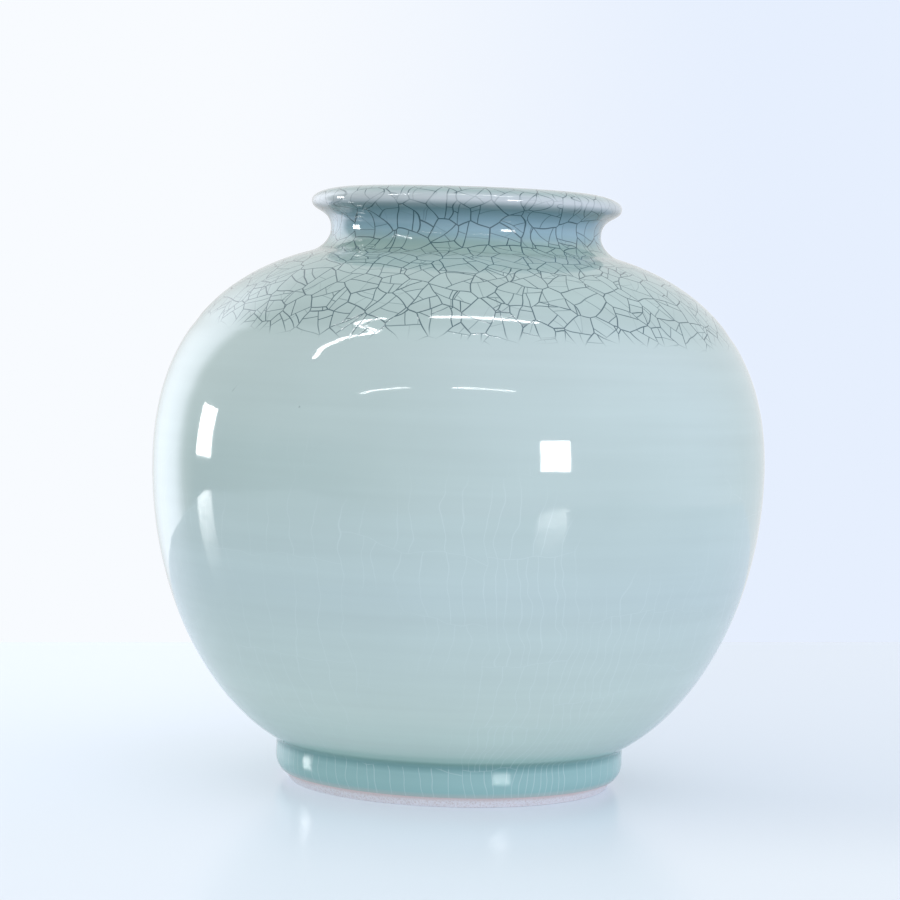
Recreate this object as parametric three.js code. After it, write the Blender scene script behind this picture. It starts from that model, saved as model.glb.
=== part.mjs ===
// A round celadon jar with a waisted neck, a rolled lip that flares, and a turned foot ring.
//
// It is made in the potter's order: two thrown bowls luted rim to rim at the waist, a thrown
// collar on the shoulder and a ring under the floor, then the coats of glaze over the clay.
// Every piece is a section turned about Z. Millimetres, +Z up, and the foot stands at Z = 0.
import * as THREE from "three";

// Driving dimensions, over the glaze.
const height = 220;
const bellyRadius = 113.6;
const bellyHeight = 118.5;
const lipRadius = 57.6;
const neckRadius = 50.2;
const mouthRadius = 42.4;
const footRadius = 64.8;
const wallThickness = 7;
const floorHeight = 17;
const glazeThickness = 0.9;
const facetsRound = 44;

// The glazed outline is one curve through these knots, from the glaze line on the foot, over
// the lip and down inside to the middle of the floor. At a knot it heads at an angle (0 is
// outwards, 90 is up), its handles reach before and after, and steps is how many facets it
// takes to the next knot.
const knots = {
  glazeLine: { r: 62.8, z: 3.9, heading: 52, before: 0, after: 2.2, steps: 2 },
  footWall: { r: footRadius, z: 9.5, heading: 90, before: 2.4, after: 2, steps: 1 },
  crease: { r: 64.9, z: 15, heading: 80, before: 2, after: 0.4, steps: 1 },
  bellyFoot: { r: 66.2, z: 16.2, heading: 30.5, before: 0.4, after: 32.4, steps: 8 },
  widest: { r: bellyRadius, z: bellyHeight, heading: 90, before: 45.3, after: 50.7, steps: 9 },
  shoulder: { r: 57, z: 196.4, heading: 164.4, before: 28, after: 3.4, steps: 3 },
  neck: { r: neckRadius, z: 204.5, heading: 90, before: 3.6, after: 7.6, steps: 3 },
  lip: { r: lipRadius, z: 214.9, heading: 90, before: 4.6, after: 3.4, steps: 3 },
  crest: { r: 45, z: height, heading: 180, before: 4, after: 1.8, steps: 3 },
  seam: { r: mouthRadius, z: 207, heading: 270, before: 6, after: 9, steps: 3 },
  insideShoulder: { r: 54, z: 188, heading: 344, before: 6, after: 28, steps: 5 },
  insideWidest: {
    r: bellyRadius - wallThickness,
    z: bellyHeight,
    heading: 270,
    before: 39,
    after: 51,
    steps: 6,
  },
  floorEdge: { r: 38, z: floorHeight, heading: 180, before: 42, after: 0, steps: 1 },
  floorCentre: { r: 0, z: floorHeight, heading: 180, before: 0, after: 0, steps: 0 },
};

// The plain coat ends this many facets above the waist, where the stained crackle begins.
const facetsToCrackle = 4;

// Under the floor: the standing face, and the recess inside the ring.
const standInner = 53.5;
const standOuter = 59.5;
const recessRadius = 51;
const recessDepth = 8;
const recessChamfer = 2;

// The joint at the waist: a ridge on the upper rim seats in a groove in the lower one.
const ridgeHalfWidth = 1.4;
const ridgeDepth = 2.2;

const point = (x, y) => new THREE.Vector2(x, y);

function handle(knot, reach) {
  const angle = THREE.MathUtils.degToRad(knot.heading);
  return point(knot.r + reach * Math.cos(angle), knot.z + reach * Math.sin(angle));
}

// The outline from one knot to another, and the index of each knot on the way.
function outlineBetween(first, last) {
  const names = Object.keys(knots);
  const used = names.slice(names.indexOf(first), names.indexOf(last) + 1);
  const points = [point(knots[first].r, knots[first].z)];
  const at = { [first]: 0 };
  for (let i = 1; i < used.length; i += 1) {
    const from = knots[used[i - 1]];
    const to = knots[used[i]];
    const curve = new THREE.CubicBezierCurve(
      point(from.r, from.z),
      handle(from, from.after),
      handle(to, -to.before),
      point(to.r, to.z),
    );
    points.push(...curve.getSpacedPoints(from.steps).slice(1));
    at[used[i]] = points.length - 1;
  }
  return { points, at };
}

// The face of the clay under a glazed outline, which lies to the outline's left.
function clayUnder(points) {
  return points.map((here, i) => {
    const before = points[Math.max(i - 1, 0)];
    const after = points[Math.min(i + 1, points.length - 1)];
    const along = after.clone().sub(before).setLength(glazeThickness);
    return point(here.x - along.y, here.y + along.x);
  });
}

const outside = outlineBetween("glazeLine", "seam");
const inside = outlineBetween("seam", "floorCentre");
const clayOutside = clayUnder(outside.points);
const clayInside = clayUnder(inside.points);

// The two coats meet at the seam inside the neck, over one point of the clay.
clayInside[0] = clayOutside[clayOutside.length - 1];
clayInside[clayInside.length - 1].setX(0);

const crackleEdge = outside.at.widest + facetsToCrackle;
const recessCorner = point(recessRadius, recessDepth);
const recessCentre = point(0, recessDepth);

// Across the wall at the waist, from the outside in.
function waistJoint() {
  const middle =
    (clayOutside[outside.at.widest].x + clayInside[inside.at.insideWidest].x) / 2;
  return [
    point(middle + ridgeHalfWidth, bellyHeight),
    point(middle, bellyHeight - ridgeDepth),
    point(middle - ridgeHalfWidth, bellyHeight),
  ];
}

function footRing() {
  return [
    point(standInner, 0),
    point(standOuter, 0),
    ...clayOutside.slice(0, outside.at.crease + 1),
    recessCorner,
    point(recessRadius, recessChamfer),
  ];
}

function lowerBowl() {
  return [
    recessCentre,
    recessCorner,
    ...clayOutside.slice(outside.at.crease, outside.at.widest + 1),
    ...waistJoint(),
    ...clayInside.slice(inside.at.insideWidest),
  ];
}

function upperBowl() {
  return [
    ...clayOutside.slice(outside.at.widest, outside.at.shoulder + 1),
    ...clayInside.slice(inside.at.insideShoulder, inside.at.insideWidest + 1),
    ...waistJoint().reverse(),
  ];
}

function neckAndLip() {
  return [
    ...clayOutside.slice(outside.at.shoulder),
    ...clayInside.slice(1, inside.at.insideShoulder + 1),
  ];
}

// A coat of glaze from one point of the outside to another.
function outerCoat(from, to) {
  return [
    ...outside.points.slice(from, to + 1),
    ...clayOutside.slice(from, to + 1).reverse(),
  ];
}

function innerCoat() {
  return [...inside.points, ...clayInside.slice().reverse()];
}

// The coat inside the foot ring covers the recess and stops short of the standing face.
function recessCoat() {
  const ceiling = recessDepth - glazeThickness;
  const wall = recessRadius - glazeThickness;
  const edge = knots.glazeLine.z;
  return [
    point(0, ceiling),
    point(wall - glazeThickness, ceiling),
    point(wall, ceiling - glazeThickness),
    point(wall, edge),
    point(recessRadius, edge - glazeThickness / 2),
    recessCorner,
    recessCentre,
  ];
}

// A section turned about Z, followed so that its outside is on its right. A point on the axis
// becomes one vertex. A facet is halved from its lower edge to its upper one whichever way the
// section runs, so two pieces that touch have the same triangles there.
function turn(name, section, material) {
  const positions = [];
  const rings = section.map(({ x, y }) => {
    const first = positions.length / 3;
    const count = x > 0 ? facetsRound : 1;
    for (let j = 0; j < count; j += 1) {
      const angle = (2 * Math.PI * j) / facetsRound;
      positions.push(x * Math.cos(angle), x * Math.sin(angle), y);
    }
    return (j) => first + (j % count);
  });
  const index = [];
  section.forEach((here, i) => {
    const next = (i + 1) % section.length;
    const there = section[next];
    const rising = here.y < there.y || (here.y === there.y && here.x < there.x);
    for (let j = 0; j < facetsRound; j += 1) {
      const [a, b] = [rings[i](j), rings[i](j + 1)];
      const [c, d] = [rings[next](j + 1), rings[next](j)];
      const halves = rising ? [[a, b, c], [a, c, d]] : [[a, b, d], [b, c, d]];
      index.push(...halves.filter((half) => new Set(half).size === 3).flat());
    }
  });
  const geometry = new THREE.BufferGeometry();
  geometry.setAttribute("position", new THREE.Float32BufferAttribute(positions, 3));
  geometry.setIndex(index);
  geometry.computeVertexNormals();
  const mesh = new THREE.Mesh(geometry, material);
  mesh.name = name;
  return mesh;
}

const bareClay = new THREE.MeshStandardMaterial({ color: 0xe2d3cb, roughness: 0.85, metalness: 0 });
const celadon = new THREE.MeshStandardMaterial({ color: 0xb2cac6, roughness: 0.1, metalness: 0 });
const crackle = new THREE.MeshStandardMaterial({ color: 0x9ab3b2, roughness: 0.1, metalness: 0 });

const jar = new THREE.Group();
jar.add(turn("foot_ring", footRing(), bareClay));
jar.add(turn("lower_bowl", lowerBowl(), bareClay));
jar.add(turn("upper_bowl", upperBowl(), bareClay));
jar.add(turn("neck_and_lip", neckAndLip(), bareClay));
jar.add(turn("belly_glaze", outerCoat(0, crackleEdge), celadon));
jar.add(turn("crackle_glaze", outerCoat(crackleEdge, outside.at.seam), crackle));
jar.add(turn("inner_glaze", innerCoat(), celadon));
jar.add(turn("recess_glaze", recessCoat(), celadon));

export default jar;
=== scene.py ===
import math
import bpy
from mathutils import Matrix, Vector
from mathutils.geometry import interpolate_bezier


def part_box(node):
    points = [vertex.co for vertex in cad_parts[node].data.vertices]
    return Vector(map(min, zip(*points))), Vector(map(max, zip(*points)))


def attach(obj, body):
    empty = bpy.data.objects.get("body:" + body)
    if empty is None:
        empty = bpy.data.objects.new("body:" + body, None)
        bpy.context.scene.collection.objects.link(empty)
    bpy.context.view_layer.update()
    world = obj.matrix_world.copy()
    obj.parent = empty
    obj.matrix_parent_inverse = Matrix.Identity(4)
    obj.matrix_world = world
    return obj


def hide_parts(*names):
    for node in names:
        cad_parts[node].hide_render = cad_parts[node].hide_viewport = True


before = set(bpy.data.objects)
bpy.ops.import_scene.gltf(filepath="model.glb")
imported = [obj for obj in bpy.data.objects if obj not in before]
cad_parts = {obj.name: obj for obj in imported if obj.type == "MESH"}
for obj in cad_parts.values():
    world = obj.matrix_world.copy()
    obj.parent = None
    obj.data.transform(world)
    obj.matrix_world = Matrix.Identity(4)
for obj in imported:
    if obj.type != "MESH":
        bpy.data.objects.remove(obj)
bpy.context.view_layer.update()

mm = 0.001


def isSocket(value):
    return isinstance(value, bpy.types.NodeSocket)


class NodeBoard:
    # short ways to lay nodes down and wire them, for materials, the world and geometry trees alike
    def __init__(self, tree):
        self.tree = tree

    def put(self, value, socket):
        if isSocket(value):
            self.tree.links.new(value, socket)
        else:
            socket.default_value = value

    def node(self, kind, wired=None, **settings):
        made = self.tree.nodes.new(kind)
        for key, value in settings.items():
            setattr(made, key, value)
        for key, value in (wired or {}).items():
            self.put(value, made.inputs[key])
        return made

    def calc(self, operation, a, b=0.0, c=0.0):
        return self.node("ShaderNodeMath", {0: a, 1: b, 2: c}, operation=operation).outputs[0]

    def add(self, a, b):
        return self.calc("ADD", a, b)

    def times(self, a, b):
        return self.calc("MULTIPLY", a, b)

    def rise(self, value, low, high):
        # 0 below low, 1 above high, smooth between
        wired = {"Value": value, "From Min": low, "From Max": high}
        return self.node("ShaderNodeMapRange", wired, interpolation_type="SMOOTHSTEP").outputs[0]

    def fall(self, value, low, high):
        return self.calc("SUBTRACT", 1.0, self.rise(value, low, high))

    def band(self, value, start, full, fading, end):
        return self.times(self.rise(value, start, full), self.fall(value, fading, end))

    def swing(self, chance, width, middle=0.0):
        # a number from 0 to 1 laid out evenly about a middle
        return self.calc("MULTIPLY_ADD", chance, width, middle - width / 2)

    def mix(self, amount, a, b, blend="MIX"):
        made = self.node("ShaderNodeMix", {0: amount, 6: a, 7: b}, data_type="RGBA", blend_type=blend)
        return made.outputs[2]

    def vector(self, x, y, z=0.0):
        return self.node("ShaderNodeCombineXYZ", {0: x, 1: y, 2: z}).outputs[0]

    def parts(self, vector):
        return self.node("ShaderNodeSeparateXYZ", {0: vector}).outputs[:3]

    def vcalc(self, operation, a, b=(0, 0, 0)):
        made = self.node("ShaderNodeVectorMath", {0: a, 1: b}, operation=operation)
        return made.outputs["Value" if operation in ("DOT_PRODUCT", "LENGTH") else "Vector"]

    def scaled(self, vector, factor):
        wired = {0: vector, "Scale": factor}
        return self.node("ShaderNodeVectorMath", wired, operation="SCALE").outputs[0]

    def noise(self, vector, scale=1.0, detail=2.0, output="Fac"):
        wired = {"Vector": vector, "Scale": scale, "Detail": detail}
        return self.node("ShaderNodeTexNoise", wired).outputs[output]

    def chance(self, *numbers):
        # three random numbers that stay the same for the same whole numbers
        place = self.vector(*[self.add(number, 0.5) for number in numbers])
        return self.parts(self.node("ShaderNodeTexWhiteNoise", {"Vector": place}).outputs["Color"])


def tone(code):
    # a colour given as a hex code, made linear
    channels = [int(code[i:i + 2], 16) / 255 for i in (0, 2, 4)]
    linear = [c / 12.92 if c <= 0.04045 else ((c + 0.055) / 1.055) ** 2.4 for c in channels]
    return (*linear, 1.0)


# The glazed outline at its knots: radius, height, heading in degrees, handle before, handle after,
# and the spacing of the rows after it. It runs from the glaze line on the foot, over the lip and
# down inside to the axis.
outline = {
    "glazeLine": (62.8, 3.9, 52, 0, 2.2, 0.5),
    "footWall": (64.8, 9.5, 90, 2.4, 2, 0.8),
    "crease": (64.9, 15.0, 80, 2, 0.4, 0.3),
    "bellyFoot": (66.2, 16.2, 30.5, 0.4, 32.4, 1.2),
    "widest": (113.6, 118.5, 90, 45.3, 50.7, 1.0),
    "shoulder": (57.0, 196.4, 164.4, 28, 3.4, 0.7),
    "neck": (50.2, 204.5, 90, 3.6, 7.6, 0.6),
    "lip": (57.6, 214.9, 90, 4.6, 3.4, 0.5),
    "crest": (45.0, 220.0, 180, 4, 1.8, 0.8),
    "seam": (42.4, 207.0, 270, 6, 9, 1.6),
    "insideShoulder": (54.0, 188.0, 344, 6, 28, 2.2),
    "insideWidest": (106.6, 118.5, 270, 39, 51, 2.2),
    "floorEdge": (38.0, 17.0, 180, 42, 0, 2.4),
    "floorCentre": (0.0, 17.0, 180, 0, 0, 0),
}
glazeThickness = 0.9
curveOverChord = 1.08  # how much longer a stretch is than the straight line between its knots
alongAt = {"glazeLine": 0.0}


def towards(degrees):
    return Vector((math.cos(math.radians(degrees)), math.sin(math.radians(degrees))))


def outlineBetween(first, last):
    # rows (radius, height, distance along the outline, heading in radians) between two knots
    names = list(outline)
    used = names[names.index(first):names.index(last) + 1]
    r, z, heading = outline[first][:3]
    rows = [Vector((r, z, alongAt[first], math.radians(heading)))]
    for here, there in zip(used, used[1:]):
        r0, z0, heading0, _, reach0, spacing = outline[here]
        r1, z1, heading1, reach1, _, _ = outline[there]
        start, end = Vector((r0, z0)), Vector((r1, z1))
        count = max(3, round((end - start).length * curveOverChord / spacing) + 1)
        curve = interpolate_bezier(
            start, start + towards(heading0) * reach0, end - towards(heading1) * reach1, end, count)
        for i, p in enumerate(curve[1:], 1):
            step = p - curve[i - 1]
            onward = curve[min(i + 1, count - 1)] - curve[i - 1]
            heading = math.atan2(onward[1], onward[0]) % math.tau
            if i == count - 1:
                heading = math.radians(heading1)
            rows.append(Vector((p[0], p[1], rows[-1][2] + math.hypot(step[0], step[1]), heading)))
        alongAt[there] = rows[-1][2]
    return rows


def setBack(rows, distance):
    # the same line moved to its left, which is into the clay
    moved = []
    for r, z, along, heading in rows:
        back = max(r - math.sin(heading) * distance, 0)
        moved.append(Vector((back, z + math.cos(heading) * distance, along, heading)))
    return moved


def cutAtHeight(rows, height, close=0.05):
    # splits a rising line at a height, with a close row on each side so that both halves shade alike
    i = next(i for i, row in enumerate(rows) if row.y > height)
    below, above = rows[i - 1], rows[i]
    cut = below.lerp(above, (height - below.y) / (above.y - below.y))
    return rows[:i] + [cut.lerp(below, close), cut], [cut, cut.lerp(above, close)] + rows[i:]


def thinned(rows, every):
    # fewer rows where nothing shows, and the last one kept
    return rows[:-1:every] + [rows[-1]]


def coatSection(front):
    # a coat of glaze: the front, then the back of it against the clay
    return front, thinned(setBack(front, glazeThickness), 4)[::-1]


throwingMarks = {
    "ripplesRound": 9.0,  # how quickly the ripples change around the piece
    "wanderRound": 14.0,  # the same for the finger rings
    "swerveRound": 20.0,  # and for the groove
    "ringWander": 0.5,  # of the height of a ring
    "ringsGrow": 25.0,  # mm over which the rings come in
    "grooveSwerve": 4.0,  # mm
    "grooveUneven": (0.6, 0.7),  # random share of its depth, and the least
    "stillReach": 9.0,  # mm beside the seam of two coats over which the marks fade
    "sharpFrom": 50,  # degrees
}


def wheelTree():
    # turns a closed section about Z, then presses shallow ripples and finger rings into its front
    tree = bpy.data.node_groups.new("turnedOnTheWheel", "GeometryNodeTree")
    face = tree.interface
    face.new_socket("section", in_out="INPUT", socket_type="NodeSocketGeometry")
    marks = throwingMarks
    inputs = {"stepsRound": "Int", "rippleDepth": "Float", "rippleHeight": "Float", "ringDepth": "Float",
              "ringHeight": "Float", "ringsFrom": "Float", "grooveAt": "Float", "grooveWidth": "Float",
              "grooveDepth": "Float", "stillAt": "Float", "seed": "Float", "finish": "Material"}
    ids = {}
    for name, kind in inputs.items():
        ids[name] = face.new_socket(name, in_out="INPUT", socket_type="NodeSocket" + kind).identifier
    face.new_socket("piece", in_out="OUTPUT", socket_type="NodeSocketGeometry")
    g = NodeBoard(tree)
    given = g.node("NodeGroupInput").outputs

    rows = g.node("GeometryNodeAttributeDomainSize", {0: given["section"]}, component="MESH").outputs[0]
    perColumn = g.add(rows, 1)
    size = {"Vertices X": g.add(given["stepsRound"], 1), "Vertices Y": perColumn}
    grid = g.node("GeometryNodeMeshGrid", size).outputs["Mesh"]
    index = g.node("GeometryNodeInputIndex").outputs[0]
    column = g.calc("FLOOR", g.calc("DIVIDE", g.add(index, 0.5), perColumn))
    row = g.calc("MODULO", g.calc("SUBTRACT", index, g.times(column, perColumn)), rows)

    def fromSection(value, kind):
        wired = {0: given["section"], 1: value, 2: row}
        return g.node("GeometryNodeSampleIndex", wired, data_type=kind, domain="POINT").outputs[0]

    def stored(name):
        made = g.node("GeometryNodeInputNamedAttribute", data_type="FLOAT")
        made.inputs["Name"].default_value = name
        return made.outputs["Attribute"]

    def store(geometry, name, value, kind="FLOAT", domain="POINT"):
        wired = {"Geometry": geometry, "Name": name, "Value": value}
        return g.node("GeometryNodeStoreNamedAttribute", wired, data_type=kind, domain=domain).outputs[0]

    spot = fromSection(g.node("GeometryNodeInputPosition").outputs[0], "FLOAT_VECTOR")
    radius, _, height = g.parts(spot)
    angle = g.times(g.calc("DIVIDE", column, given["stepsRound"]), math.tau)
    turned = [g.times(radius, g.calc(way, angle)) for way in ("COSINE", "SINE")]
    placed = g.vector(*turned, height)
    body = grid
    for name in ("along", "front", "heading"):
        body = store(body, name, fromSection(stored(name), "FLOAT"))
    body = g.node("GeometryNodeSetPosition", {"Geometry": body, "Position": placed}).outputs[0]
    body = g.node("GeometryNodeMergeByDistance", {"Geometry": body, "Distance": 1e-6}).outputs[0]
    facesBeside = g.node("GeometryNodeInputMeshEdgeNeighbors").outputs[0]
    # an edge without a face is what is left on the axis
    bare = {"Geometry": body, "Selection": g.calc("LESS_THAN", facesBeside, 0.5)}
    body = g.node("GeometryNodeDeleteGeometry", bare, domain="EDGE", mode="EDGE_FACE").outputs[0]

    x, y, _ = g.parts(g.node("GeometryNodeInputPosition").outputs[0])
    along, front = stored("along"), stored("front")

    def unevenRound(quickness, third):
        wired = g.vector(g.times(x, quickness), g.times(y, quickness), third)
        return g.noise(wired, detail=1.0)

    # ripples are slow around and quick up
    climb = g.add(g.calc("DIVIDE", along, given["rippleHeight"]), given["seed"])
    ripple = unevenRound(marks["ripplesRound"], climb)
    # finger rings climb one ring a turn
    turns = g.calc("DIVIDE", g.calc("ARCTAN2", y, x), math.tau)
    wander = unevenRound(marks["wanderRound"], climb)
    started = g.add(turns, g.times(wander, marks["ringWander"]))
    ringClimb = g.add(g.calc("DIVIDE", along, given["ringHeight"]), started)
    ring = g.calc("MULTIPLY_ADD", g.calc("SINE", g.times(ringClimb, math.tau)), 0.5, 0.5)
    ringShare = g.rise(g.calc("SUBTRACT", along, given["ringsFrom"]), 0.0, marks["ringsGrow"])
    rings = g.times(g.times(ring, given["ringDepth"]), ringShare)
    # one soft groove where the crackle dip was wiped off, never quite level
    swerve = unevenRound(marks["swerveRound"], given["seed"])
    grooveFrom = g.add(given["grooveAt"], -marks["grooveSwerve"] / 2)
    offGroove = g.calc("SUBTRACT", along, g.calc("MULTIPLY_ADD", swerve, marks["grooveSwerve"], grooveFrom))
    grooveShare = g.calc("ABSOLUTE", g.calc("DIVIDE", offGroove, given["grooveWidth"]))
    acrossGroove = g.calc("MINIMUM", grooveShare, 0.5)
    groove = g.calc("MULTIPLY_ADD", g.calc("COSINE", g.times(acrossGroove, math.tau)), 0.5, 0.5)
    uneven = g.calc("MULTIPLY_ADD", swerve, *marks["grooveUneven"])
    grooved = g.times(g.times(groove, given["grooveDepth"]), uneven)
    sunk = g.add(g.add(g.times(ripple, given["rippleDepth"]), rings), grooved)
    offSeam = g.calc("ABSOLUTE", g.calc("SUBTRACT", along, given["stillAt"]))
    still = g.rise(offSeam, 0.0, marks["stillReach"])
    sunk = g.times(g.times(sunk, front), g.times(still, -mm))
    # inwards across the outline's heading, so that two coats that meet move alike
    heading = stored("heading")
    outwards = g.vcalc("NORMALIZE", g.vector(x, y))
    inwards = g.vcalc("ADD", g.scaled(outwards, g.calc("SINE", heading)),
                      g.vector(0.0, 0.0, g.times(g.calc("COSINE", heading), -1.0)))
    pressed = {"Geometry": body, "Offset": g.scaled(inwards, sunk)}
    body = g.node("GeometryNodeSetPosition", pressed).outputs[0]

    edgeAngle = g.node("GeometryNodeInputMeshEdgeAngle").outputs[0]
    steep = g.calc("GREATER_THAN", edgeAngle, math.radians(marks["sharpFrom"]))
    body = store(body, "sharp_edge", steep, "BOOLEAN", "EDGE")
    body = g.node("GeometryNodeSetShadeSmooth", {"Geometry": body}).outputs[0]
    body = g.node("GeometryNodeRealizeInstances", {0: body}).outputs[0]
    body = g.node("GeometryNodeSetMaterial", {"Geometry": body, "Material": given["finish"]}).outputs[0]
    g.node("NodeGroupOutput", {0: body})
    return tree, ids


wheel, wheelIds = wheelTree()
nowhere = -100.0  # a place along the outline that no piece reaches
plainTurning = {
    "stepsRound": 256, "rippleDepth": 0.0, "rippleHeight": 8.0, "ringDepth": 0.0, "ringHeight": 8.0,
    "ringsFrom": 0.0, "grooveAt": nowhere, "grooveWidth": 9.0, "grooveDepth": 0.0, "stillAt": nowhere,
    "seed": 4.0,
}


def turn(name, front, back, finish, **settings):
    raw = bpy.data.objects.new(name + "_section", bpy.data.meshes.new(name + "_section"))
    bpy.context.scene.collection.objects.link(raw)
    rows = front + back
    count = len(rows)
    corners = [(row.x * mm, 0, row.y * mm) for row in rows]
    raw.data.from_pydata(corners, [(i, (i + 1) % count) for i in range(count)], [])
    showing = [1.0] * len(front) + [0.0] * len(back)
    kept = {"along": [row[2] for row in rows], "heading": [row[3] for row in rows], "front": showing}
    for key, numbers in kept.items():
        raw.data.attributes.new(key, "FLOAT", "POINT").data.foreach_set("value", numbers)
    modifier = raw.modifiers.new("wheel", "NODES")
    modifier.node_group = wheel
    for key, value in {**plainTurning, "finish": finish, **settings}.items():
        modifier[wheelIds[key]] = value
    mesh = bpy.data.meshes.new_from_object(raw.evaluated_get(bpy.context.evaluated_depsgraph_get()))
    mesh.name = name
    piece = bpy.data.objects.new(name, mesh)
    bpy.context.scene.collection.objects.link(piece)
    bpy.data.objects.remove(raw)
    return piece


outside = outlineBetween("glazeLine", "seam")
inside = outlineBetween("seam", "floorCentre")
bellyFront, shoulderFront = cutAtHeight(outside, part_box("belly_glaze")[1].z / mm)
crackleHeight, grooveHeight = 168.7, 169.0  # mm above the table
crackleFrom = next(row[2] for row in outside if row.y > crackleHeight)
grooveAt = next(row[2] for row in outside if row.y > grooveHeight)
mouthAlong = alongAt["seam"]
print("outline drawn,", len(outside) + len(inside), "rows")

# Glaze colours along the outline: knot, distance past it in mm, colour. Some are painted light: shade under
# the lip and a lighter lower belly.
glazeAndPaintedLightTones = [
    ("glazeLine", 0.0, "bcc5c0"),
    ("glazeLine", 1.6, "9ac3c0"),
    ("footWall", 3.0, "98c2c0"),
    ("crease", -0.8, "89b5b5"),
    ("crease", 0.5, "55847e"),
    ("bellyFoot", 1.2, "aac8be"),
    # painted light: the lower belly is lighter, standing in for light thrown up from the table
    ("bellyFoot", 12.0, "c2d6cd"),
    ("bellyFoot", 30.0, "c8d9d1"),
    ("widest", -40.0, "bbcecc"),
    ("widest", 0.0, "b6cac5"),
    ("widest", 46.0, "b6c9c4"),
    ("widest", 56.0, "acc1bb"),
    ("shoulder", -14.0, "a7bfb8"),
    ("shoulder", -4.0, "a6bcb2"),
    ("shoulder", 2.5, "9fb9ad"),
    ("neck", -5.0, "99b5ad"),
    ("neck", -3.0, "88aaac"),
    ("neck", 0.0, "8db0ba"),
    # painted shade, partly pooled glaze: darker up the neck and under the rolled lip where it overhangs
    ("neck", 5.0, "82a1ad"),
    ("lip", -4.2, "718e93"),
    ("lip", -2.4, "899ba0"),
    ("lip", -1.5, "bec7c8"),
    ("lip", 1.6, "c1cccc"),
    ("lip", 3.0, "94afac"),
    ("crest", -4.0, "98b1ad"),
    ("crest", 8.0, "9bb5af"),
    ("seam", 30.0, "a7bbb3"),
    ("insideWidest", 0.0, "a8bdb6"),
    ("floorEdge", 0.0, "9ab8b2"),
    ("floorCentre", 0.0, "91b2ac"),
]

glazeLook = {
    "roundScale": 80.0,  # mm of crack pattern for a radian around the vase
    "bend": 3.2,  # mm that the cracks wander
    "cellSize": 10.0,  # mm across the cells between the first cracks
    "lineWidths": (0.21, 0.19, 0.17, 0.12),  # half widths of the cracks, from the first ones to the last
    "splitAside": (3.0, 4.0, 9.0),  # mm over which the splits of a cell lie
    "secondLean": 0.9,  # radians over which the second split leans off square
    "thirdFrom": 0.65,  # chance above which a quarter has a third split
    "firstStrength": (0.3, 0.7),  # random share of it, and the least
    "secondStrength": (1.0, 0.15),
    "thirdStrength": 0.5,
    "edgeWaver": 9.0,  # mm that the dipped edge rises and falls
    "edgeClimb": {"full": -96.0, "none": -58.0, "by": 5.0},  # mm that it climbs on the left
    "tails": (-3.5, 2.0),  # mm past the edge over which the cracks come in
    "tailsUneven": 3.0,
    "fineTails": (-1.0, 0.5),  # the same for the hairs and the tone of the cells
    "crackleInside": (16, 26),  # mm down inside the mouth over which the cracks fade
    "lipFade": 0.6,  # how much fainter they are on the rolled lip
    "stain": "2b4e56",
    "stainShare": 0.9,
    "shades": {"bands": 0.14, "clouds": 0.10, "cells": 0.06},  # how far the tone goes up and down
    "perMm": {  # how quickly each kind of unevenness changes
        "bend": 0.042, "edge": 0.03, "clouds": 0.018, "patches": 0.016, "gloss": 0.05, "peel": 0.33,
        "bandsRound": 0.006, "bandsUp": 0.16,
    },
    "roughness": (0.05, 0.03),  # random share, and the least
    "crackRoughness": 0.05,
    "crackDepth": 0.012,
    "peel": 0.006,
    "craze": {
        "runs": 16, "fewest": 5.0, "spread": 3.99, "cellHeight": 31.0, "slope": 1.0, "colour": "dceaea",
        "upright": 0.15, "level": 0.13, "levelShare": 0.8, "onBelly": 0.22, "onFoot": 0.30,
        "patchFrom": (0.42, 0.60), "aboutWidest": (-20, 25),
    },
    "specks": [  # middle, end of it, half width, darkness
        ((-77.3, -77.4, 147.1), (-75.7, -78.1, 149.0), 0.24, 0.75),
        ((-54.5, -96.6, 141.3), (-54.3, -96.7, 141.6), 0.35, 0.45),
        ((110.5, -21.1, 131.0), (110.6, -21.4, 133.2), 0.35, 0.5),
        ((110.7, -22.5, 123.8), (110.7, -22.4, 124.6), 0.30, 0.5),
    ],
}


def movedEnd(g, end, loose, *name):
    # the end of a stretch, moved at random by up to a quarter of it where it is loose
    moved = g.swing(g.chance(loose(end), *name)[0], 0.5)
    return g.add(end, g.times(moved, loose(end, True)))


def brokenLine(g, value, loose, *name):
    # a line marked off in stretches with moved ends: which stretch this is, and how far off its ends are
    start = g.calc("FLOOR", value)
    ends = [movedEnd(g, end, loose, *name) for end in (start, g.add(start, 1.0))]
    stretch = g.add(g.add(start, -1.0), g.add(*[g.calc("GREATER_THAN", value, end) for end in ends]))
    return stretch, g.calc("MINIMUM", *[g.calc("ABSOLUTE", g.calc("SUBTRACT", value, end)) for end in ends])


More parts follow.
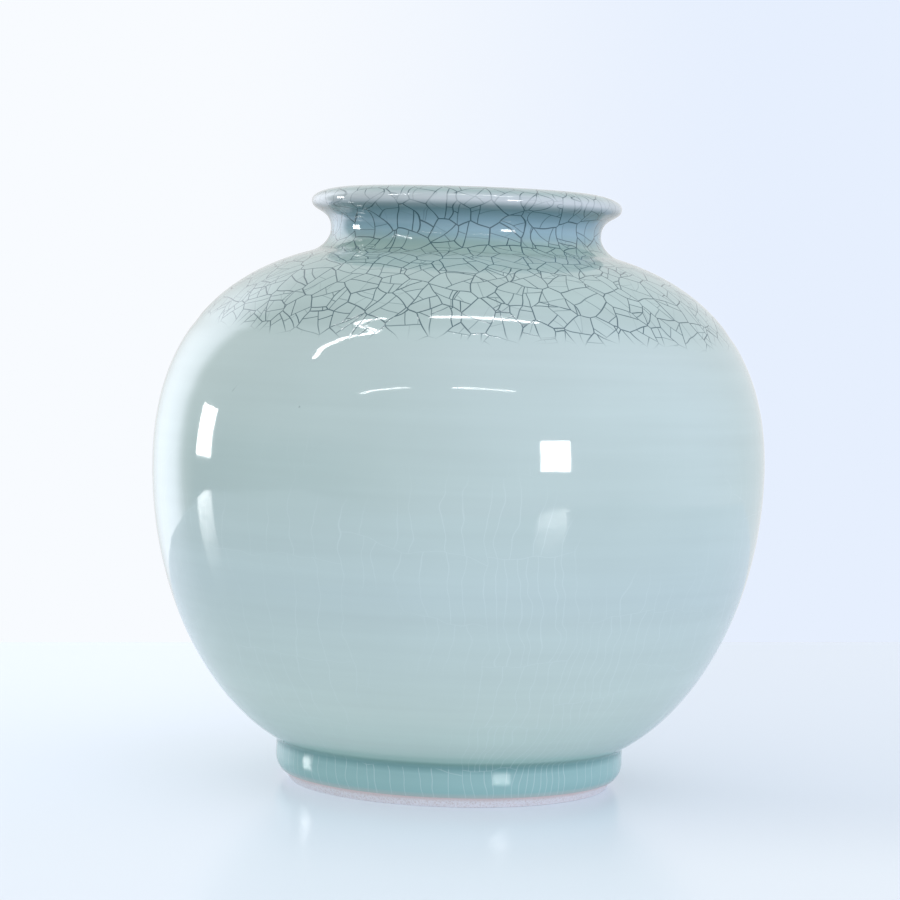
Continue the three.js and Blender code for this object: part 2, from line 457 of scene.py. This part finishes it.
def bricks(g, around, up, shrink, look):
    # the pale craze: runs of cells up the vase, in rows that break at each run. It gives the mm to
    # the upright and to the level cracks.
    runs = float(look["runs"])
    runWidth = math.tau * glazeLook["roundScale"] / runs

    def wrapped(end, amount=False):
        return 1.0 if amount else g.calc("FLOORED_MODULO", end, runs)

    def anyRow(end, amount=False):
        return 1.0 if amount else end

    run, offRun = brokenLine(g, g.calc("DIVIDE", around, runWidth), wrapped, 3.0)
    runStart, runEnd = movedEnd(g, run, wrapped, 3.0), movedEnd(g, g.add(run, 1.0), wrapped, 3.0)
    runName = g.calc("FLOORED_MODULO", run, runs)
    runLength = g.calc("SUBTRACT", runEnd, runStart)
    share = g.calc("DIVIDE", g.calc("SUBTRACT", g.calc("DIVIDE", around, runWidth), runStart), runLength)
    lift, slope, _ = g.chance(runName, 5.0)
    sloped = g.times(g.times(g.add(slope, -0.5), look["slope"]), share)
    climbed = g.add(g.calc("DIVIDE", up, look["cellHeight"]), g.add(lift, sloped))
    row, offRow = brokenLine(g, climbed, anyRow, runName)
    draw = g.chance(row, runName, 9.0)[0]
    count = g.calc("FLOOR", g.calc("MULTIPLY_ADD", draw, look["spread"], look["fewest"]))
    walked = g.times(share, count)
    cellWidth = g.times(g.calc("DIVIDE", g.times(runLength, runWidth), count), shrink)

    def withinRun(end, amount=False):
        # the first and the last end are the run's own, and stay
        halfCount = g.times(count, 0.5)
        toMiddle = g.calc("ABSOLUTE", g.calc("SUBTRACT", end, halfCount))
        return g.calc("LESS_THAN", toMiddle, g.add(halfCount, -0.5)) if amount else end

    _, offColumn = brokenLine(g, walked, withinRun, row, g.add(runName, 40.0))
    upright = g.calc("MINIMUM", g.times(g.times(offRun, runWidth), shrink), g.times(offColumn, cellWidth))
    return upright, g.times(offRow, look["cellHeight"])


def splitLine(g, toMiddle, angle, offset):
    # a straight crack through a cell: which side of it, and how far off
    ways = [g.times(part, g.calc(way, angle)) for part, way in zip(toMiddle, ("COSINE", "SINE"))]
    signed = g.calc("SUBTRACT", g.add(*ways), offset)
    return g.calc("GREATER_THAN", signed, 0.0), g.calc("ABSOLUTE", signed)


def hairline(g, distance, halfWidth):
    # 1 on the crack, fading over its edge
    return g.fall(distance, halfWidth * 0.4, halfWidth * 1.6)


def glazeMaterial(name):
    made = bpy.data.materials.new(name)
    made.use_nodes = True
    g = NodeBoard(made.node_tree)
    shader = made.node_tree.nodes["Principled BSDF"]
    look, perMm = glazeLook, glazeLook["perMm"]

    place = g.scaled(g.node("ShaderNodeTexCoord").outputs["Object"], 1 / mm)
    x, y, _ = g.parts(place)
    along = g.node("ShaderNodeAttribute", attribute_name="along").outputs["Fac"]

    # around the vase in mm, and up along the outline, both a little bent
    around = g.times(g.calc("ARCTAN2", x, g.times(y, -1.0)), look["roundScale"])
    radius = g.vcalc("LENGTH", g.vector(x, y))
    shrink = g.times(radius, 1 / look["roundScale"])
    bend = g.vcalc("SUBTRACT", g.noise(place, perMm["bend"], 2.0, "Color"), (0.5, 0.5, 0.5))
    bendRound, bendUp, _ = g.parts(g.scaled(bend, 2 * look["bend"]))

    # stained crackle: uneven cells, each split in two and in four, and some of those once more
    cellsAt = g.scaled(g.vcalc("ADD", place, g.scaled(bend, 2 * look["bend"])), 1 / look["cellSize"])
    cells = {"Vector": cellsAt, "Scale": 1.0, "Randomness": 1.0}
    nearest, nextCell = [
        g.node("ShaderNodeTexVoronoi", cells, feature=kind).outputs for kind in ("F1", "F2")]
    fromMiddle = g.scaled(g.vcalc("SUBTRACT", cellsAt, nearest["Position"]), look["cellSize"])
    heading = g.node("ShaderNodeAttribute", attribute_name="heading").outputs["Fac"]
    outwards = g.vcalc("NORMALIZE", g.vector(x, y))
    sideways = g.vcalc("NORMALIZE", g.vector(g.times(y, -1.0), x))
    lift = g.vector(0.0, 0.0, g.calc("SINE", heading))
    upwards = g.vcalc("ADD", g.scaled(outwards, g.calc("COSINE", heading)), lift)
    # the wall between two cells, and how far off it is along the surface, however it slants
    wall = g.vcalc("SUBTRACT", nextCell["Position"], nearest["Position"])
    across = g.vcalc("NORMALIZE", wall)
    offWall = g.calc("SUBTRACT", g.times(g.vcalc("LENGTH", wall), look["cellSize"] / 2),
                     g.vcalc("DOT_PRODUCT", fromMiddle, across))
    onSurface = (sideways, upwards)
    slant = g.vcalc("LENGTH", g.vector(*[g.vcalc("DOT_PRODUCT", across, way) for way in onSurface]))
    toMiddle = [g.vcalc("DOT_PRODUCT", fromMiddle, way) for way in onSurface]
    wholeNumbers = 997.0  # as many names as a cell's random colour is told apart by
    cell = [g.calc("FLOOR", g.times(number, wholeNumbers)) for number in g.parts(nearest["Color"])]
    lean, aside, strength = g.chance(*cell)
    tilt = g.times(lean, math.pi)
    asides = look["splitAside"]
    half, offFirst = splitLine(g, toMiddle, tilt, g.swing(aside, asides[0]))
    halfName = g.calc("MULTIPLY_ADD", half, 20.0, 20.0)
    lean2, aside2, strength2 = g.chance(cell[0], cell[1], g.add(cell[2], halfName))
    tilt2 = g.add(tilt, g.swing(lean2, look["secondLean"], math.pi / 2))
    quarter, offSecond = splitLine(g, toMiddle, tilt2, g.swing(aside2, asides[1]))
    quarterName = g.calc("MULTIPLY_ADD", quarter, 20.0, g.calc("MULTIPLY_ADD", half, 40.0, 60.0))
    lean3, aside3, strength3 = g.chance(cell[0], cell[1], g.add(cell[2], quarterName))
    _, offThird = splitLine(g, toMiddle, g.times(lean3, math.pi), g.swing(aside3, asides[2]))
    widths = look["lineWidths"]
    edgeLine = hairline(g, g.calc("DIVIDE", offWall, slant), widths[0])
    firstShare = g.calc("MULTIPLY_ADD", strength, *look["firstStrength"])
    secondShare = g.calc("MULTIPLY_ADD", strength2, *look["secondStrength"])
    first = g.times(hairline(g, offFirst, widths[1]), firstShare)
    second = g.times(hairline(g, offSecond, widths[2]), secondShare)
    hasThird = g.calc("GREATER_THAN", strength3, look["thirdFrom"])
    third = g.times(hairline(g, offThird, widths[3]), g.times(hasThird, look["thirdStrength"]))

    # the lower edge of the dip, which wavers and climbs on the left
    climb = look["edgeClimb"]
    edgeWaver = g.swing(g.noise(place, perMm["edge"], 2.0), look["edgeWaver"])
    edgeClimb = g.times(g.fall(x, climb["full"], climb["none"]), climb["by"])
    past = g.calc("SUBTRACT", along, g.add(g.add(edgeWaver, edgeClimb), crackleFrom))
    notDeepInside = g.fall(along, *[mouthAlong + depth for depth in look["crackleInside"]])
    tails = g.rise(g.add(past, g.times(aside, look["tailsUneven"])), *look["tails"])
    fineTails = g.rise(past, *look["fineTails"])
    dark = g.times(g.calc("MAXIMUM", edgeLine, g.calc("MAXIMUM", first, second)), tails)
    dark = g.calc("MAXIMUM", dark, g.times(third, fineTails))
    onLip = g.band(along, *[alongAt["lip"] + away for away in (-3.0, -1.0, 1.0, 3.0)])
    lipShare = g.calc("MULTIPLY_ADD", onLip, -look["lipFade"], 1.0)
    dark = g.times(g.times(dark, notDeepInside), lipShare)

    # colour along the outline: the glaze's tones where it pools, with painted shade under the lip and
    # painted light on the lower belly, and soft bands and clouds
    ramp = g.node("ShaderNodeValToRGB", {0: g.calc("DIVIDE", along, alongAt["floorCentre"])})
    stops = ramp.color_ramp.elements
    for knot, pastKnot, _ in glazeAndPaintedLightTones[1:-1]:
        stops.new((alongAt[knot] + pastKnot) / alongAt["floorCentre"])
    for stop, (_, _, code) in zip(stops, glazeAndPaintedLightTones):
        stop.color = tone(code)
    base = ramp.outputs["Color"]
    shades = look["shades"]
    bandsRound = [g.times(way, perMm["bandsRound"]) for way in (x, y)]
    bands = g.noise(g.vector(*bandsRound, g.times(along, perMm["bandsUp"])), 1.0, 3.0)
    clouds = g.noise(place, perMm["clouds"], 3.0)
    shade = g.add(g.swing(bands, shades["bands"]), g.swing(clouds, shades["clouds"]))
    cellShade = g.times(g.swing(strength3, shades["cells"]), g.times(fineTails, notDeepInside))
    bright = g.add(g.add(shade, cellShade), 1.0)
    base = g.mix(1.0, base, g.vector(bright, bright, bright), "MULTIPLY")

    # old pale craze, mostly upright, in patches on the plain glaze and thick on the foot
    craze = look["craze"]
    crazeRound, crazeUp = g.add(around, g.times(bendRound, 2.0)), g.add(along, g.times(bendUp, 2.0))
    crazeUpright, crazeLevel = bricks(g, crazeRound, crazeUp, shrink, craze)
    levelLine = g.times(hairline(g, crazeLevel, craze["level"]), craze["levelShare"])
    paleLine = g.calc("MAXIMUM", hairline(g, crazeUpright, craze["upright"]), levelLine)
    patches = g.rise(g.noise(place, perMm["patches"], 2.0), *craze["patchFrom"])
    low = g.fall(along, *[alongAt["widest"] + away for away in craze["aboutWidest"]])
    onFoot = g.fall(along, alongAt["crease"] - 1, alongAt["crease"])
    onBelly = g.times(g.times(patches, low), craze["onBelly"])
    pale = g.times(paleLine, g.calc("MAXIMUM", onBelly, g.times(onFoot, craze["onFoot"])))
    base = g.mix(pale, base, tone(craze["colour"]))

    base = g.mix(g.times(dark, look["stainShare"]), base, tone(look["stain"]))
    for middle, end, halfWidth, darkness in look["specks"]:
        way = Vector(end) - Vector(middle)
        lengthways = tuple(way.normalized())
        fromSpeck = g.vcalc("SUBTRACT", place, middle)
        onward = g.vcalc("DOT_PRODUCT", fromSpeck, lengthways)
        beside = g.vcalc("LENGTH", g.vcalc("SUBTRACT", fromSpeck, g.scaled(lengthways, onward)))
        spot = g.times(g.fall(beside, halfWidth * 0.5, halfWidth * 1.6),
                       g.fall(g.calc("ABSOLUTE", onward), way.length * 0.7, way.length * 1.2))
        base = g.mix(g.times(spot, darkness), base, tone(look["stain"]))
    g.put(base, shader.inputs["Base Color"])

    gloss = g.calc("MULTIPLY_ADD", g.noise(place, perMm["gloss"], 2.0), *look["roughness"])
    g.put(g.add(gloss, g.times(dark, look["crackRoughness"])), shader.inputs["Roughness"])
    peel = g.times(g.noise(place, perMm["peel"], 2.0), look["peel"])
    height = g.calc("SUBTRACT", peel, g.times(dark, look["crackDepth"]))
    bump = g.node("ShaderNodeBump", {"Strength": 1.0, "Distance": mm, "Height": height})
    g.put(bump.outputs[0], shader.inputs["Normal"])
    return made


clayLook = {
    "pale": "f0eef1",
    "sand": "dbd0ce",
    "blush": "e6cfca",
    "blushAt": (2.6, 4.2, 6.0, 9.0),  # mm up: where it starts, is full, fades and ends
    "blushWaver": 1.4,
    "blushShare": 0.75,
    "sandFrom": (0.42, 0.75),
    "grainDepth": 0.12,
    "roughness": 0.85,
}


def clayMaterial():
    made = bpy.data.materials.new("bareStoneware")
    made.use_nodes = True
    g = NodeBoard(made.node_tree)
    shader = made.node_tree.nodes["Principled BSDF"]
    place = g.scaled(g.node("ShaderNodeTexCoord").outputs["Object"], 1 / mm)
    _, _, z = g.parts(place)
    grain = g.noise(place, 1.6, 4.0)
    sandy = g.rise(grain, *clayLook["sandFrom"])
    base = g.mix(sandy, tone(clayLook["pale"]), tone(clayLook["sand"]))
    unevenHeight = g.add(z, g.times(g.noise(place, 0.08, 2.0), clayLook["blushWaver"]))
    blush = g.times(g.band(unevenHeight, *clayLook["blushAt"]), clayLook["blushShare"])
    base = g.mix(blush, base, tone(clayLook["blush"]))
    g.put(base, shader.inputs["Base Color"])
    shader.inputs["Roughness"].default_value = clayLook["roughness"]
    height = g.times(grain, clayLook["grainDepth"])
    bump = g.node("ShaderNodeBump", {"Strength": 1.0, "Distance": mm, "Height": height})
    g.put(bump.outputs[0], shader.inputs["Normal"])
    return made


plainGlaze = glazeMaterial("plainCeladon")
crackleGlaze = glazeMaterial("crackledCeladon")
clay = clayMaterial()
print("glazes and clay mixed")

throwing = {
    "rippleDepth": 0.13,
    "rippleHeight": 8.5,
    "grooveAt": grooveAt,
    "grooveDepth": 0.17,
    "stillAt": mouthAlong,
}
bellyCoat = turn("belly_coat", *coatSection(bellyFront), plainGlaze, **throwing)
crackleCoat = turn("crackle_coat", *coatSection(shoulderFront), crackleGlaze, **throwing)
fingerRings = {"stepsRound": 192, "ringDepth": 0.4, "ringHeight": 9.0, "ringsFrom": mouthAlong + 12}
innerCoat = turn("inner_coat", *coatSection(inside), crackleGlaze, **throwing, **fingerRings)

footSteps = {
    "inner": 51.0,
    "outer": 59.5,
    "recess": 8.0,
    "innerRound": [(0.0, 2.0), (0.5, 1.0), (1.4, 0.3), (2.5, 0.0)],  # outwards from inner, and up
    "bevel": 0.7,
    "coatCorner": [(-1.6, 0.0), (-0.5, -0.4), (0.0, -1.4)],  # out from the coat's wall, up from its face
    "coatEdge": [(0.0, 4.4), (0.25, 3.8)],  # out from the coat's wall, and up
    "coatEnd": 3.5,
}


def flat(places):
    return [Vector((r, z, 0, 0)) for r, z in places]


def footSection():
    # down the recess and over the standing face, then up the outside under the glaze
    wall = [row for row in setBack(outside, glazeThickness) if row[2] <= alongAt["crease"]]
    inner, outer, bevel = footSteps["inner"], footSteps["outer"], footSteps["bevel"]
    rounded = [(inner + out, up) for out, up in footSteps["innerRound"]]
    bevelled = [(outer - bevel, 0.0), (outer - bevel * 0.3, bevel * 0.2), (outer, bevel * 0.7)]
    return flat([(inner, footSteps["recess"]), *rounded, *bevelled]), wall


def recessSection():
    inner, top = footSteps["inner"], footSteps["recess"]
    face = top - glazeThickness
    side = inner - glazeThickness
    corner = [(side + out, face + up) for out, up in footSteps["coatCorner"]]
    edge = [(side + out, up) for out, up in footSteps["coatEdge"]]
    shown = [(0, face), *corner, *edge, (inner, footSteps["coatEnd"])]
    return flat(shown), flat([(inner, top), (0, top)])


bowls = {"floor": 8.0, "ridgeHalfWidth": 1.4, "ridgeDepth": 2.2}
clayOutside, clayInside = setBack(outside, glazeThickness), setBack(inside, glazeThickness)


def clayBetween(rows, first, last):
    shown = [row for row in rows if alongAt[first] <= row[2] <= alongAt[last]]
    return thinned(shown, 2)


def waistJoint():
    # across the wall from the outside in: the ridge on the upper rim sits in the groove of the lower one
    level = outline["widest"][1]
    outer, inner = outline["widest"][0] - glazeThickness, outline["insideWidest"][0] + glazeThickness
    middle, half = (outer + inner) / 2, bowls["ridgeHalfWidth"]
    return flat([(middle + half, level), (middle, level - bowls["ridgeDepth"]), (middle - half, level)])


def lowerBowlSection():
    under = flat([(0, bowls["floor"]), (footSteps["inner"], bowls["floor"])])
    wall = clayBetween(clayOutside, "crease", "widest")
    return under + wall, waistJoint() + clayBetween(clayInside, "insideWidest", "floorCentre")


def upperBowlSection():
    wall = clayBetween(clayOutside, "widest", "shoulder")
    return wall, clayBetween(clayInside, "insideShoulder", "insideWidest") + waistJoint()[::-1]


def collarSection():
    wall = clayBetween(clayOutside, "shoulder", "seam")
    return wall, clayBetween(clayInside, "seam", "insideShoulder")[1:]


covered = {"stepsRound": 128}  # fewer facets for clay that the glaze covers
lowerClay = turn("lower_bowl_clay", *lowerBowlSection(), clay, **covered)
upperClay = turn("upper_bowl_clay", *upperBowlSection(), clay, **covered)
collarClay = turn("collar_clay", *collarSection(), clay, **covered)
footClay = turn("foot_clay", *footSection(), clay)
recessCoat = turn("recess_coat", *recessSection(), plainGlaze, stepsRound=192)
print("vase turned")

standsFor = {
    bellyCoat: ("belly_glaze", "celadon_glaze"),
    crackleCoat: ("crackle_glaze", "crackle_glaze"),
    innerCoat: ("inner_glaze", "celadon_glaze"),
    footClay: ("foot_ring", "stoneware"),
    recessCoat: ("recess_glaze", "celadon_glaze"),
    lowerClay: ("lower_bowl", "stoneware"),
    upperClay: ("upper_bowl", "stoneware"),
    collarClay: ("neck_and_lip", "stoneware"),
}
for piece, (node, slotName) in standsFor.items():
    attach(piece, "root")
    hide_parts(node)

table = {
    "left": -0.9,
    "right": 0.9,
    "front": -0.6,
    "backLeft": 0.187,
    "backRight": 0.688,
    "paint": (0.46, 0.52, 0.56, 1.0),
    # painted light: the board glows though no lamp is in it, brighter on the left
    "glowFront": (0.29, 0.31, 0.325, 1.0),
    "glowLeft": (0.315, 0.345, 0.395, 1.0),
    "glowRight": (0.185, 0.21, 0.245, 1.0),
    "leftToRight": (-0.17, 0.14),  # metres over which one glow turns into the other
    "frontToBack": (-0.18, 0.0),
    "ior": 1.13,
    "roughness": 0.19,
}


def tableTop():
    # a pale board with painted light: it glows a little, brighter on the left, to lift the shade around the
    # vase and light its lower belly
    corners = [(table["left"], table["front"], 0), (table["right"], table["front"], 0),
               (table["right"], table["backRight"], 0), (table["left"], table["backLeft"], 0)]
    mesh = bpy.data.meshes.new("table_top")
    mesh.from_pydata(corners, [], [(0, 1, 2, 3)])
    top = bpy.data.objects.new("table_top", mesh)
    bpy.context.scene.collection.objects.link(top)
    paint = bpy.data.materials.new("paleTableWithPaintedGlow")
    paint.use_nodes = True
    g = NodeBoard(paint.node_tree)
    shader = paint.node_tree.nodes["Principled BSDF"]
    x, y, _ = g.parts(g.node("ShaderNodeTexCoord").outputs["Object"])
    sides = g.mix(g.rise(x, *table["leftToRight"]), table["glowLeft"], table["glowRight"])
    glow = g.mix(g.rise(y, *table["frontToBack"]), table["glowFront"], sides)
    g.put(glow, shader.inputs["Emission Color"])
    shader.inputs["Emission Strength"].default_value = 1.0
    shader.inputs["Base Color"].default_value = table["paint"]
    shader.inputs["IOR"].default_value = table["ior"]
    shader.inputs["Roughness"].default_value = table["roughness"]
    mesh.materials.append(paint)


tableTop()

room = {
    "walls": (0.87, 0.87, 0.88, 1),
    "window": (1.28, 1.28, 1.48, 1),
    "windowAround": (-40, 25, 95, 135),  # degrees: where it starts, is full, fades and ends
    "behindLeft": (2.7, 2.75, 3.0, 1),
    "behindAround": (-170, -132, -131, -120),
    "behindUp": (24, 50),
    "darkCorner": (0.35, 0.37, 0.4, 1),
    "cornerAround": (-122, -112, -60, -20),
    "cornerUp": (-25, -15, 2, 12),
    "backdropLeft": tone("f8fbff"),
    "backdropRight": tone("e6effe"),
    "backdropTurns": (-0.10, 0.12),
}


def paintRoom():
    # a pale room by direction: degrees around from the front, and degrees up
    world = bpy.data.worlds.new("paleRoom")
    bpy.context.scene.world = world
    world.use_nodes = True
    g = NodeBoard(world.node_tree)
    x, y, z = g.parts(g.node("ShaderNodeTexCoord").outputs["Generated"])
    degrees = 180 / math.pi
    around = g.times(g.calc("ARCTAN2", x, g.times(y, -1.0)), degrees)
    up = g.times(g.calc("ARCSINE", z), degrees)
    light = g.mix(g.band(around, *room["windowAround"]), room["walls"], room["window"])
    behind = g.times(g.band(around, *room["behindAround"]), g.fall(up, *room["behindUp"]))
    light = g.mix(behind, light, room["behindLeft"])
    corner = g.times(g.band(around, *room["cornerAround"]), g.band(up, *room["cornerUp"]))
    light = g.mix(corner, light, room["darkCorner"])
    turning = g.rise(x, *room["backdropTurns"])
    backdrop = g.mix(turning, room["backdropLeft"], room["backdropRight"])
    seen = g.mix(g.node("ShaderNodeLightPath").outputs["Is Camera Ray"], light, backdrop)
    g.put(seen, world.node_tree.nodes["Background"].inputs["Color"])


paintRoom()

# Soft boxes and ceiling tubes that the glaze mirrors: place, size, brightness, and whether one
# faces the vase.
lamps = {
    "frontBox": {"at": (1.188, -1.741, 0.347), "size": (0.40, 0.37), "bright": 26, "aimed": True},
    "leftBox": {"at": (-1.986, 0.561, 0.288), "size": (0.33, 0.42), "bright": 24, "aimed": True},
    "ceilingLeft": {"at": (-1.16, -0.46, 1.67), "size": (1.20, 0.065), "bright": 26, "turned": 16.6},
    "ceilingRight": {"at": (0.17, -0.32, 1.67), "size": (0.79, 0.065), "bright": 26},
    "tubeLeft": {"at": (-1.08, -1.77, 1.35), "size": (0.81, 0.03), "bright": 26},
    "tubeRight": {"at": (0.30, -1.80, 1.35), "size": (0.815, 0.03), "bright": 26},
}
aimedAt = Vector((0, 0, 0.12))
for name, lamp in lamps.items():
    light = bpy.data.lights.new(name, "AREA")
    light.shape = "RECTANGLE"
    light.size, light.size_y = lamp["size"]
    light.energy = lamp["bright"] * math.pi * lamp["size"][0] * lamp["size"][1]
    stand = bpy.data.objects.new(name, light)
    stand.location = lamp["at"]
    stand.rotation_euler.z = math.radians(lamp.get("turned", 0))
    if lamp.get("aimed"):
        way = aimedAt - stand.location
        stand.rotation_euler = way.to_track_quat("-Z", "Y").to_euler()
    stand.visible_camera = False
    stand.visible_diffuse = False
    bpy.context.scene.collection.objects.link(stand)

cameraView = {
    "across": -0.0033,
    "back": 1.04,
    "height": 0.1749,
    "down": 2.82,
    "roll": 1.88,
    "lens": 111.7,
    "sensor": 36,
}
camera = bpy.data.objects.new("camera", bpy.data.cameras.new("camera"))
camera.data.lens = cameraView["lens"]
camera.data.sensor_width = cameraView["sensor"]
camera.matrix_world = (
    Matrix.Translation((cameraView["across"], -cameraView["back"], cameraView["height"]))
    @ Matrix.Rotation(math.radians(90 - cameraView["down"]), 4, "X")
    @ Matrix.Rotation(math.radians(cameraView["roll"]), 4, "Z")
)
bpy.context.scene.collection.objects.link(camera)
bpy.context.scene.camera = camera
bpy.context.scene.view_settings.view_transform = "Standard"
print("studio set")
